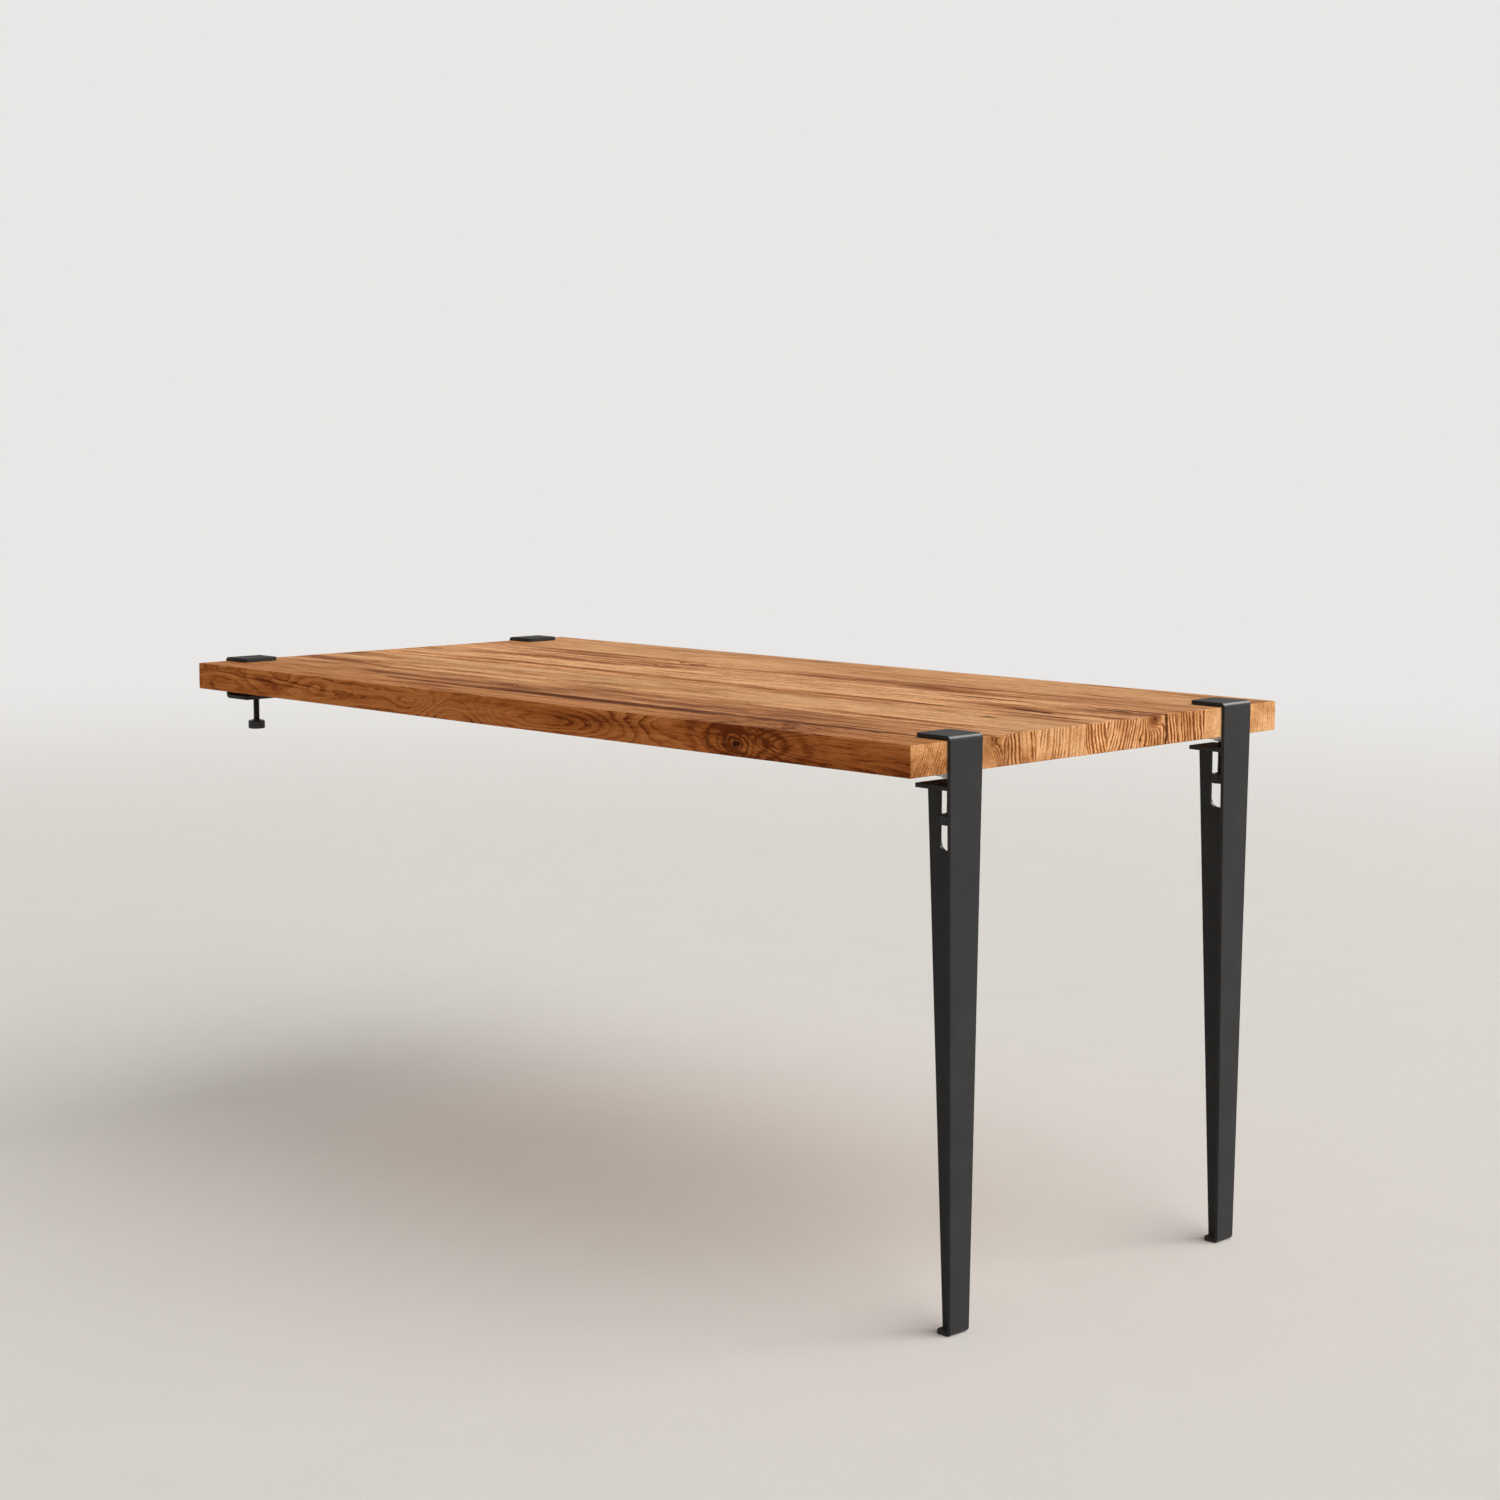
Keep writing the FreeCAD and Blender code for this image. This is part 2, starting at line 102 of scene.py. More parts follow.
# %% Node helper
class Net:
    """Builds a node tree as nested calls; a value that is a socket is linked, any other is set."""

    def __init__(self, tree):
        self.tree = tree

    def put(self, socket, value):
        if isinstance(value, bpy.types.NodeSocket):
            self.tree.links.new(value, socket)
        elif value is not None:
            socket.default_value = value

    def node(self, kind, inputs=(), **settings):
        made = self.tree.nodes.new(kind)
        for name, setting in settings.items():
            setattr(made, name, setting)
        pairs = inputs.items() if isinstance(inputs, dict) else enumerate(inputs)
        for key, value in pairs:
            self.put(made.inputs[key], value)
        return made

    def math(self, operation, *values):
        return self.node("ShaderNodeMath", values, operation=operation).outputs[0]

    def vector(self, operation, *values):
        made = self.node("ShaderNodeVectorMath", values, operation=operation)
        return made.outputs["Value" if operation == "LENGTH" else "Vector"]

    def scale(self, vector, value):
        """A vector made longer, or a colour made lighter, by a number."""
        return self.vector("SCALE", vector, None, None, value)

    def split(self, vector):
        return self.node("ShaderNodeSeparateXYZ", [vector]).outputs

    def join(self, x, y, z):
        return self.node("ShaderNodeCombineXYZ", [x, y, z]).outputs[0]

    def noise(self, place, cells, detail=2.0, sample=0.0, roughness=0.5, output=0):
        """Smooth noise from 0 to 1, with so many cells to the metre."""
        cells = cells if isinstance(cells, tuple) else (cells, cells, cells)
        wanted = {
            "Vector": self.vector("MULTIPLY", place, cells), "W": sample, "Scale": 1.0,
            "Detail": detail, "Roughness": roughness,
        }
        return self.node("ShaderNodeTexNoise", wanted, noise_dimensions="4D").outputs[output]

    def rise(self, value, low, high):
        """0 below low, 1 above high and smooth between; turned round where low is above high."""
        return self.node(
            "ShaderNodeMapRange", [value, low, high, 0.0, 1.0], interpolation_type="SMOOTHSTEP"
        ).outputs[0]

    def blend(self, factor, first, second):
        made = self.node("ShaderNodeMix", data_type="RGBA")
        sockets = (made.inputs[0], made.inputs[6], made.inputs[7])
        for socket, value in zip(sockets, (factor, first, second)):
            self.put(socket, value)
        return made.outputs[2]

    def ramp(self, value, stops):
        made = self.node("ShaderNodeValToRGB", [value])
        marks = made.color_ramp.elements
        while len(marks) < len(stops):
            marks.new(0.5)
        for mark, (place, colour) in zip(marks, stops):
            mark.position = place
            mark.color = (*colour, 1.0)
        return made.outputs[0]

    def bump(self, height, strength, distance):
        return self.node(
            "ShaderNodeBump", {"Height": height, "Strength": strength, "Distance": distance}
        ).outputs[0]


print("node helper ready")

# %% [markdown]
# ## Finishes
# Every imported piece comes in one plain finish. A new finish starts from Blender's standard
# shader. Its pattern could be laid on with an unwrapped picture, but a pattern that reads the
# place on the object has no seams, and it stays on the piece when the piece moves.


# %% Start a finish and put it on
def new_finish(name, **shader_values):
    """An empty finish: its net, its shader and the place on the object that a pattern reads."""
    finish = bpy.data.materials.new(name)
    finish.use_nodes = True
    net = Net(finish.node_tree)
    shader = finish.node_tree.nodes["Principled BSDF"]
    for key, value in shader_values.items():
        shader.inputs[key.replace("_", " ")].default_value = value
    place = net.node("ShaderNodeTexCoord").outputs["Object"]
    return finish, net, shader, place


def dress(node_name, finish):
    """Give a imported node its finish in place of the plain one."""
    mesh = nodes[node_name].data
    mesh.materials.clear()
    mesh.materials.append(finish)


print("packed pieces to dress:", len(nodes))

# %% [markdown]
# ## The floor
# A plain pale floor takes the shadow. It could curve up into a backdrop, but that would stand in
# the way from behind, so it is a wide disc that fades into the background on all sides.

# %% Lay the floor
BACKGROUND = (0.815, 0.800, 0.785)
FLOOR_PALE = (0.755, 0.728, 0.685)
FLOOR_RADIUS = 30.0
FLOOR_MIDDLE = (0.75, 0.0)
FLOOR_FADE = (2.6, 7.5)
FLOOR_SPECKLE = 0.05


def seen_directly(net):
    """1 for what the camera sees, straight or in gloss and glass, and 0 for light on things."""
    path = net.node("ShaderNodeLightPath").outputs
    mirrored = net.math("MAXIMUM", path["Is Glossy Ray"], path["Is Transmission Ray"])
    return net.math("MAXIMUM", path["Is Camera Ray"], mirrored)


floor_mesh = bpy.data.meshes.new("floor")
shape = bmesh.new()
bmesh.ops.create_circle(shape, cap_ends=True, segments=96, radius=FLOOR_RADIUS)
bmesh.ops.translate(shape, verts=shape.verts, vec=(*FLOOR_MIDDLE, cad_box[0][2]))
shape.to_mesh(floor_mesh)
shape.free()
floor = bpy.data.objects.new("floor", floor_mesh)
scene.collection.objects.link(floor)

floor_finish, net, shader, place = new_finish(
    "pale_floor", Roughness=0.75, Specular_IOR_Level=0.2)
speckle = net.math(
    "MULTIPLY_ADD", net.noise(place, 9.0, 5.0), FLOOR_SPECKLE, 1.0 - FLOOR_SPECKLE / 2)
net.put(shader.inputs["Base Color"], net.scale(FLOOR_PALE, speckle))
away = net.vector("LENGTH", net.vector("MULTIPLY", place, (1.0, 1.0, 0.0)))
haze = net.node("ShaderNodeEmission", {"Color": (*BACKGROUND, 1.0)}).outputs[0]
fade = net.math("MULTIPLY", net.rise(away, *FLOOR_FADE), seen_directly(net))
mixed = net.node("ShaderNodeMixShader", [fade, shader.outputs[0], haze]).outputs[0]
below = net.node("ShaderNodeNewGeometry").outputs["Backfacing"]
clear = net.node("ShaderNodeBsdfTransparent").outputs[0]
mixed = net.node("ShaderNodeMixShader", [below, mixed, clear]).outputs[0]
net.put(floor_finish.node_tree.nodes["Material Output"].inputs["Surface"], mixed)
floor_mesh.materials.append(floor_finish)
print("floor at", round(cad_box[0][2], 3))

# %% [markdown]
# ## Light
# The light falls on the free end and rakes along the top, which brings out the grain. A panel
# close by could give it, but its light would fade along the table, so the broad soft lamp is far
# off and even, and a pale sky fills the shade. A second lamp only shows in gloss: it draws the
# bright line along the bends of the steel and leaves the wood as it is.

# %% Hang the lamps
LAMP_STRENGTH = 0.95 * math.pi
LAMP_WARM = (1.0, 0.985, 0.96)
EDGE_STRENGTH = 4.4
SKY_FILL = (0.98, 0.99, 1.0)
SKY_STRENGTH = 0.29


def hang_lamp(name, azimuth, height, spread, strength, colour=(1.0, 1.0, 1.0)):
    """A lamp so far off that its light is even, and as soft as its spread is wide."""
    lamp = bpy.data.objects.new(name, bpy.data.lights.new(name, "SUN"))
    lamp.data.angle = math.radians(spread)
    lamp.data.energy = strength
    lamp.data.color = colour
    lamp.rotation_euler = (0, math.radians(90 - height), math.radians(azimuth))
    scene.collection.objects.link(lamp)
    return lamp


hang_lamp("soft_lamp", azimuth=17, height=38, spread=78, strength=LAMP_STRENGTH, colour=LAMP_WARM)
edge_lamp = hang_lamp("edge_lamp", azimuth=78, height=42, spread=34, strength=EDGE_STRENGTH)
edge_lamp.visible_diffuse = False

world = bpy.data.worlds.new("sky")
world.use_nodes = True
scene.world = world
net = Net(world.node_tree)
fill = world.node_tree.nodes["Background"]
net.put(fill.inputs["Color"], (*SKY_FILL, 1.0))
net.put(fill.inputs["Strength"], SKY_STRENGTH)
backdrop = net.node("ShaderNodeBackground", [(*BACKGROUND, 1.0), 1.0]).outputs[0]
sky = net.node("ShaderNodeMixShader", [seen_directly(net), fill.outputs[0], backdrop]).outputs[0]
net.put(world.node_tree.nodes["World Output"].inputs["Surface"], sky)
print("lamp strength", round(LAMP_STRENGTH, 2), "edge", EDGE_STRENGTH, "sky", SKY_STRENGTH)

# %% [markdown]
# ## The oak top
# The top is glued up from eight staves, each cut from another place in a tree. A flat picture of
# grain would not meet at the edges, so each stave carries a piece of its own tree: growth rings
# round a pith, knots that push the rings aside, and long shakes. The staves are described first,
# the way a sawyer would: where the pith lies and what grew there. The picture's ends show finer
# rings than its long faces do, so the ends have a ring width of their own, and two have a pith.

# %% Describe the staves
# Lengths are in mm, in the table's own axes.
# - pith: y and z of the middle of the tree; across: what y and z count for in a ring's radius
# - ring: width of a year; end_pith and end_ring: pith, and share of that width, on the ends
# - wander and waver: how far the grain strays in long and in short waves; figure: its flames
# - strength: how dark the rings are; tint: the stave's colour; lift and side: that colour's
#   change on the broad faces, partly the stave's tone there and partly a painted sheen, and on
#   the long narrow ones, a painted shade that makes them darker and redder
# - knots: centre, radii, how dark, and the share that is a black eye
# - swells: centre, radii, and how far the rings are pushed
# - shakes: axis across, from x to x, place across, drift, half width, and how dark
PLAIN_STAVE = {
    "end_pith": None, "end_ring": 0.8, "figure": 4,
    "broad_tone_and_sheen": (1.04, 1.08, 1.14), "side": (0.95, 0.83, 0.70),
    "knots": (), "swells": (), "shakes": (),
}
STAVES = {
    1: {
        "pith": (-296, 2), "across": (0.60, 1.0), "ring": 4.4, "wander": 8, "waver": 2.2,
        "end_pith": (-583, 50), "end_ring": 0.66, "figure": 9, "strength": 0.95,
        "tint": (0.92, 0.87, 0.80), "broad_tone_and_sheen": (0.91, 0.82, 0.70), "side": (0.93, 0.66, 0.44),
        "knots": [((1208, -375, -3), (36, 200, 20), 1.15, 0.3),
                  ((1226, -375, 0), (120, 200, 44), 0.95, 0)],
        "swells": [((1350, -375, 2), (125, 60, 13), -17), ((1080, -375, 8), (90, 60, 20), 12),
                   ((860, -375, -6), (110, 60, 16), -12), ((640, -375, -24), (85, 60, 42), 24),
                   ((547, -375, 0), (40, 60, 14), -10), ((312, -375, 4), (34, 60, 15), -5),
                   ((228, -375, 13), (34, 60, 16), 6), ((90, -375, -4), (80, 60, 18), 12)],
        "shakes": [("z", 30, 300, 13, -16, 3.0, 0.65), ("z", 110, 400, 16, -19, 2.2, 0.55),
                   ("z", 1235, 1300, 24, -50, 6.0, 0.55),
                   ("y", 360, 1504, -298, 2, 30.0, 0.70), ("y", 430, 1504, -302, 6, 11.0, 0.85),
                   ("y", 300, 1000, -344, 26, 7.0, 0.45), ("y", 900, 1504, -342, 12, 12.0, 0.50)],
    },
    2: {
        "pith": (-219, 31), "across": (1.0, 0.75), "ring": 5.2, "wander": 5, "waver": 1.2,
        "end_pith": (-420, 60), "end_ring": 0.62, "strength": 0.60,
        "tint": (0.79, 0.73, 0.66), "broad_tone_and_sheen": (1.28, 1.36, 1.50),
        "knots": [((1503, -226, 15), (34, 9, 10), 0.95, 0.3),
                  ((600, -238, 21), (16, 9, 6), 0.8, 0.5)],
        "shakes": [("y", 1180, 1470, -226, 8, 5.0, 0.6), ("y", 200, 900, -262, 12, 4.0, 0.5),
                   ("y", 1000, 1560, -197, 2, 4.0, 0.7), ("y", 1240, 1420, -275, 0, 9.0, 0.6),
                   ("y", 700, 1300, -250, 14, 9.0, 0.15)],
    },
    3: {
        "pith": (-420, -30), "across": (1.0, 0.9), "ring": 9.0, "wander": 4, "waver": 1.6,
        "strength": 1.15, "tint": (0.97, 0.92, 0.86), "broad_tone_and_sheen": (1.32, 1.48, 1.72),
        "shakes": [("y", 700, 1500, -170, 10, 3.0, 0.7), ("y", 60, 620, -160, -8, 3.2, 0.6)],
    },
    4: {
        "pith": (-470, 60), "across": (1.0, 0.8), "ring": 9.5, "wander": 6, "waver": 2.0,
        "strength": 0.50, "tint": (1.02, 1.04, 1.05), "broad_tone_and_sheen": (1.12, 1.18, 1.26),
        "knots": [((1364, -67, 21), (15, 10, 8), 1.0, 0.7)],
        "shakes": [("y", 1290, 1600, -80, 6, 5.0, 0.40), ("y", 740, 990, -87, 10, 6.0, 0.35),
                   ("y", 900, 1360, -70, 4, 3.0, 0.6), ("y", 1000, 1500, -120, 8, 2.6, 0.5),
                   ("y", 330, 700, -95, 14, 4.0, 0.5)],
    },
    5: {
        "pith": (85, 42), "across": (1.0, 0.8), "ring": 8.0, "wander": 3, "waver": 2.0,
        "strength": 2.1, "tint": (1.33, 1.33, 1.33),
        "shakes": [("y", 1290, 1478, 2, -14, 7.5, 1.0), ("y", 1080, 1330, -6, -8, 4.2, 0.8),
                   ("y", 300, 960, -2, -6, 11.0, 0.55), ("y", 1350, 1500, -26, 4, 3.2, 0.6)],
    },
    6: {
        "pith": (-135, 54), "across": (1.0, 1.0), "ring": 8.0, "wander": 5, "waver": 2.2,
        "strength": 1.6, "tint": (1.15, 1.13, 1.14), "broad_tone_and_sheen": (1.20, 1.31, 1.46),
        "knots": [((1502, 102, 15.6), (18, 9, 7), 1.0, 0.65),
                  ((1505, 70.7, -9.5), (10, 3.2, 4.0), 1.0, 1.0),
                  ((560, 110, 21), (22, 10, 6), 0.6, 0.5)],
        "shakes": [("y", 1340, 1680, 125, 2, 5.8, 0.85), ("y", 1090, 1300, 115, -5, 7.0, 0.9),
                   ("y", 1395, 1470, 111, -3, 8.0, 1.0), ("y", 500, 1150, 62, 22, 4.0, 0.6),
                   ("y", 250, 820, 13, -8, 9.0, 0.55), ("y", 1300, 1410, 35, -15, 10.0, 1.0)],
    },
    7: {
        "pith": (-130, -40), "across": (1.0, 0.8), "ring": 9.5, "wander": 6, "waver": 3.4,
        "strength": 3.2, "tint": (0.99, 0.92, 0.87), "broad_tone_and_sheen": (1.22, 1.32, 1.46),
        "knots": [((565, 168, 21), (32, 12, 6), 0.85, 0.5)],
        "shakes": [("y", 1150, 1500, 181, 3, 4.8, 0.8), ("y", 60, 580, 180, -26, 8.0, 0.65),
                   ("y", 600, 1000, 168, 16, 6.0, 0.6), ("y", 900, 1500, 150, 4, 5.0, 0.6)],
    },
    8: {
        "pith": (0, 30), "across": (1.0, 0.8), "ring": 6.0, "wander": 7, "waver": 1.2,
        "strength": 0.28, "tint": (1.16, 1.21, 1.24), "broad_tone_and_sheen": (0.95, 0.93, 0.93),
        "shakes": [("y", 1230, 1470, 252, -16, 4.4, 0.75), ("y", 250, 1050, 300, 10, 3.2, 0.5),
                   ("y", 1380, 1640, 226, 4, 24.0, 0.22)],
    },
}
print("staves described:", len(STAVES))

# %% [markdown]
# ### Noise in the wood
# No tree grows straight, so smooth noise bends and breaks every pattern. It could be stirred in
# wherever a pattern looks stiff, but in one table it is easier to tune. Its cells are long along
# the stave and short across it, like the fibres of the wood.

# %% Noise and bends
MM = 0.001
# Noise in the wood: cells to the metre along, across and up the stave, detail, sample, roughness.
WOOD_NOISE = {
    "wander": ((2.2, 7.0, 7.0), 2.0, 0, 0.5),
    "waver": ((14.0, 60.0, 60.0), 2.0, 3, 0.5),
    "tremble": ((80.0, 240.0, 240.0), 2.0, 4, 0.5),
    "uneven": ((45.0, 45.0, 45.0), 1.0, 5, 0.5),
    "flame": ((4.5, 5.0, 30.0), 2.0, 6, 0.5),
    "pores": ((75.0, 950.0, 950.0), 1.0, 7, 0.5),
    "fibre": ((20.0, 420.0, 420.0), 3.0, 8, 0.5),
    "streak": ((2.4, 20.0, 20.0), 5.0, 9, 0.6),
    "cloud": ((4.0, 14.0, 14.0), 3.0, 10, 0.5),
    "jag": ((9.0, 55.0, 55.0), 4.0, 11, 0.5),
    "bold": ((6.0, 30.0, 30.0), 3.0, 12, 0.5),
    "grit": ((130.0, 620.0, 620.0), 2.0, 13, 0.5),
    "gnarl": ((26.0, 48.0, 48.0), 2.0, 14, 0.5),
}
TREMBLE = 1.2    # mm, the smallest waves in the grain


def wood_noise(net, kind, place, seed, output=0):
    cells, detail, sample, roughness = WOOD_NOISE[kind]
    return net.noise(place, cells, detail, seed + sample, roughness, output)


def stray(net, kind, place, reach, seed):
    """A smooth push of up to about reach mm to every side."""
    push = net.vector("SUBTRACT", wood_noise(net, kind, place, seed, "Color"), (0.5, 0.5, 0.5))
    return net.scale(push, 2 * reach * MM)


def bend(net, place, stave, seed):
    """Where a point of the stave would lie in a straight tree."""
    bent = place
    for kind, reach in (
        ("wander", stave["wander"]), ("waver", stave["waver"]), ("tremble", TREMBLE)
    ):
        bent = net.vector("ADD", bent, stray(net, kind, place, reach, seed))
    return bent


print("kinds of noise in the wood:", len(WOOD_NOISE))

# %% [markdown]
# ### Rings
# A ring is a distance from the pith. Rings could be painted on each face, but a distance in the
# whole stave runs round its edges by itself. Each year starts with dark early wood and fades to
# pale late wood, and some years are darker than others.

# %% Rings round a pith
UNEVEN_YEARS = 2.4    # rings by which the count runs fast or slow


def pith_distance(net, place, bent, on_end, stave, seed):
    """Distance from the pith, or from the ends' own pith, with the flames of the figure added."""
    pith = stave["pith"]
    end_pith = stave["end_pith"] or pith
    out = net.vector("SUBTRACT", bent, (0.0, pith[0] * MM, pith[1] * MM))
    aside = (0.0, (pith[0] - end_pith[0]) * MM, (pith[1] - end_pith[1]) * MM)
    out = net.vector("ADD", out, net.scale(aside, on_end))
    radius = net.vector("LENGTH", net.vector("MULTIPLY", out, (0.0, *stave["across"])))
    flame = wood_noise(net, "flame", place, seed)
    return net.math("MULTIPLY_ADD", flame, 2 * stave["figure"] * MM, radius)


def year_rings(net, radius, on_end, stave, seed):
    """Early wood, which fades through each year, and the rings, some years darker than others."""
    ring = stave["ring"] * MM
    width = net.math("MULTIPLY_ADD", on_end, (stave["end_ring"] - 1.0) * ring, ring)
    uneven = wood_noise(net, "uneven", net.join(radius, 0.0, 0.0), seed)
    count = net.math("MULTIPLY_ADD", uneven, UNEVEN_YEARS, net.math("DIVIDE", radius, width))
    turn = net.math("FRACT", count)
    year = net.math("SUBTRACT", count, turn)
    vigour = net.node(
        "ShaderNodeTexWhiteNoise", {"W": net.math("ADD", year, seed)}, noise_dimensions="1D"
    ).outputs[0]
    early = net.math("MAXIMUM", net.rise(turn, 0.62, 0.0), net.rise(turn, 0.90, 1.0))
    return early, net.math("MULTIPLY", early, net.math("MULTIPLY_ADD", vigour, 0.95, 0.15))


print("ring widths in mm:", [stave["ring"] for stave in STAVES.values()])

# %% [markdown]
# ### Knots and swells
# A knot is the foot of a branch: it is dark and banded, and the rings part round it. A swell only
# pushes the rings, which draws a closed figure on a long side. Both could be drawn ring by ring,
# but an egg shape that pushes the distance from the pith bends all rings at once.

# %% Knots and swells
KNOT_GNARL = 0.42         # how far a knot is bent out of shape, as a share of its least radius
KNOT_SHOVE = 3.6          # rings that a full knot pushes aside
KNOT_FULL = 8             # mm, the radius from which a knot pushes fully
KNOT_FALL = 0.30          # how steeply a knot's push falls off
KNOT_BANDS = 21.0         # how close the bands inside a knot lie
KNOT_SKIN = (1.45, 0.60)  # radii between which a knot grows dark
SWELL_FALL = 1.0          # how steeply a swell's push falls off


def ball(net, place, centre, radii):
    """Distance from a centre, counted in radii, so that 1 is the skin of an egg shape."""
    offset = net.vector("SUBTRACT", place, [v * MM for v in centre])
    return net.vector("LENGTH", net.vector("DIVIDE", offset, [v * MM for v in radii]))


def bell(net, far, fall):
    """1 at the centre and less further out."""
    return net.math("EXPONENT", net.math("MULTIPLY", net.math("MULTIPLY", far, far), -fall))


def grow_knots(net, place, radius, stave, seed):
    """Push the rings round each knot; the new radius, and how dark the knots are."""
    knot_dark = 0.0
    gnarl = stray(net, "gnarl", place, 1.0, seed)
    for centre, radii, dark, eye in stave["knots"]:
        gnarled = net.vector("ADD", place, net.scale(gnarl, KNOT_GNARL * min(radii)))
        far = ball(net, gnarled, centre, radii)
        shove = KNOT_SHOVE * stave["ring"] * min(1.0, radii[1] / KNOT_FULL) ** 2
        radius = net.math("MULTIPLY_ADD", bell(net, far, KNOT_FALL), shove * MM, radius)
        wave = net.math("COSINE", net.math("MULTIPLY", far, KNOT_BANDS))
        band = net.math("MULTIPLY_ADD", wave, 0.5, 0.5)
        band = net.math("MULTIPLY_ADD", net.math("MULTIPLY", band, band), 0.45, 0.28)
        core = net.math("MULTIPLY", net.rise(far, *KNOT_SKIN), band)
        core = net.math("MAXIMUM", core, net.rise(far, eye + 0.01, 0.3 * eye))
        knot_dark = net.math("MAXIMUM", knot_dark, net.math("MULTIPLY", core, dark))
    return radius, knot_dark


def swell_rings(net, bent, radius, stave):
    """Push the rings out or in where the side shows a closed figure."""
    for centre, radii, push in stave["swells"]:
        swell = bell(net, ball(net, bent, centre, radii), SWELL_FALL)
        radius = net.math("MULTIPLY_ADD", swell, push * MM, radius)
    return radius


print("knots to grow:", sum(len(stave.get("knots", ())) for stave in STAVES.values()))

# %% [markdown]
# ### Shakes and glue lines
# Shakes are dark splits and streaks along the grain, and a glue line is where two staves meet.
# Both could be cut into the mesh, but they are shallow and the solids stay as packed, so they are
# dark lines in the finish, with a slight dent.

# %% Shakes and glue lines
JAG = 6                         # mm, how far a shake strays from its line
GLUE_LINE = (0.0011, 0.0002)    # m, where a glue line begins and where it is darkest
GLUE_DARK = 0.30


def shake_mark(net, axes, jag, axis, start, end, across, drift, half_width, dark):
    """How dark a shake is: a split along the grain that thins out to nothing at both ends."""
    along = net.node("ShaderNodeMapRange", [axes[0], start * MM, end * MM, 0.0, 1.0]).outputs[0]
    ends = net.math("MULTIPLY", along, net.math("SUBTRACT", 1.0, along))
    ends = net.math("MULTIPLY", ends, 4.0)
    line = net.math("MULTIPLY_ADD", along, drift * MM, across * MM)
    off = net.math("SUBTRACT", axes[1 if axis == "y" else 2], net.math("ADD", line, jag[0]))
    width = net.math("MULTIPLY", net.math("MULTIPLY", ends, jag[1]), half_width * MM)
    near = net.math("DIVIDE", net.math("ABSOLUTE", off), net.math("MAXIMUM", width, 1e-7))
    return net.math("MULTIPLY", net.rise(near, 1.0, 0.4), dark)


def splits(net, number, axes, place, stave, seed):
    """How dark shakes and glue lines are."""
    shift = wood_noise(net, "jag", place, seed)
    jag = (net.math("MULTIPLY_ADD", shift, 2 * JAG * MM, -JAG * MM), net.rise(shift, 0.20, 0.60))
    split = 0.0
    for shake in stave["shakes"]:
        split = net.math("MAXIMUM", split, shake_mark(net, axes, jag, *shake))
    low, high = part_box(f"tabletop_stave_{number}")
    for edge in [low[1]] * (number > 1) + [high[1]] * (number < len(STAVES)):
        off = net.math("ABSOLUTE", net.math("SUBTRACT", axes[1], edge))
        glue = net.math("MULTIPLY", net.rise(off, *GLUE_LINE), GLUE_DARK)
        split = net.math("MAXIMUM", split, glue)
    return split


print("shakes to draw:", sum(len(stave.get("shakes", ())) for stave in STAVES.values()))

# %% [markdown]
# ### From marks to colour
# Each mark could have a colour of its own, but where marks cross they would need an order. So all
# marks add up to one darkness, and a ramp from pale to dark oak turns it into a colour. Light and
# shade are then painted on by face: the long sides darker and redder as a painted shade, the ends
# lighter and paler as a painted sheen, and the broad faces with a change that is partly the
# stave's own tone and partly a painted sheen. Only knots and deep shakes go nearly black.

# %% How dark the rings are
RING_DARK, RING_DARK_END = 0.80, 0.60    # on all faces, and added on the ends
END_WHOLE, END_MENDED = 0.98, 0.72       # grit breaks up the rings, but less so on the ends


def ring_darkness(net, rings, on_end, place, strength, seed):
    """How much the rings darken the wood: bold in places, and broken up by grit."""
    bold = net.rise(wood_noise(net, "bold", place, seed), 0.35, 0.62)
    grit = net.rise(wood_noise(net, "grit", place, seed), 0.36, 0.60)
    power = net.math("MULTIPLY_ADD", on_end, RING_DARK_END * strength, RING_DARK * strength)
    dark = net.math("MULTIPLY", rings, power)
    dark = net.math("MULTIPLY", dark, net.math("MULTIPLY_ADD", bold, 0.85, 0.25))
    broken = net.math("MULTIPLY_ADD", grit, 0.95, 0.45)
    mended = net.math("MULTIPLY", net.math("SUBTRACT", END_WHOLE, broken),
                      net.math("MULTIPLY", on_end, END_MENDED))
    return net.math("MULTIPLY", dark, net.math("ADD", broken, mended))


print("ring strengths:", [stave["strength"] for stave in STAVES.values()])

# %% Finish the staves
OAK_LIGHT = (0.690, 0.372, 0.172)
OAK_MIDDLE = (0.480, 0.208, 0.074)
OAK_DARK = (0.185, 0.058, 0.016)
KNOT_BLACK = (0.050, 0.014, 0.004)
# The ends are painted lighter and paler: a painted sheen.
END_PAINTED_SHEEN = (1.06, 1.12, 1.19)
OAK_SHINE = 0.03
STAVE_SEED = 11.3
FACE_TURN = (0.6, 0.9)     # from one face to the next, round an edge
MINOR_RING = 1.9           # mm, faint lines inside a year
# How much each kind of mark darkens the wood.
MINOR_DARK = 0.13
STREAK_DARK, STREAK_DARK_RINGED = 0.28, 0.32
FIBRE_DARK = 0.30
TOP_DRAWN = 0.75           # streaks and fibres show more on the broad faces
PORE_DARK = 0.35
MARK_DARK = 0.85


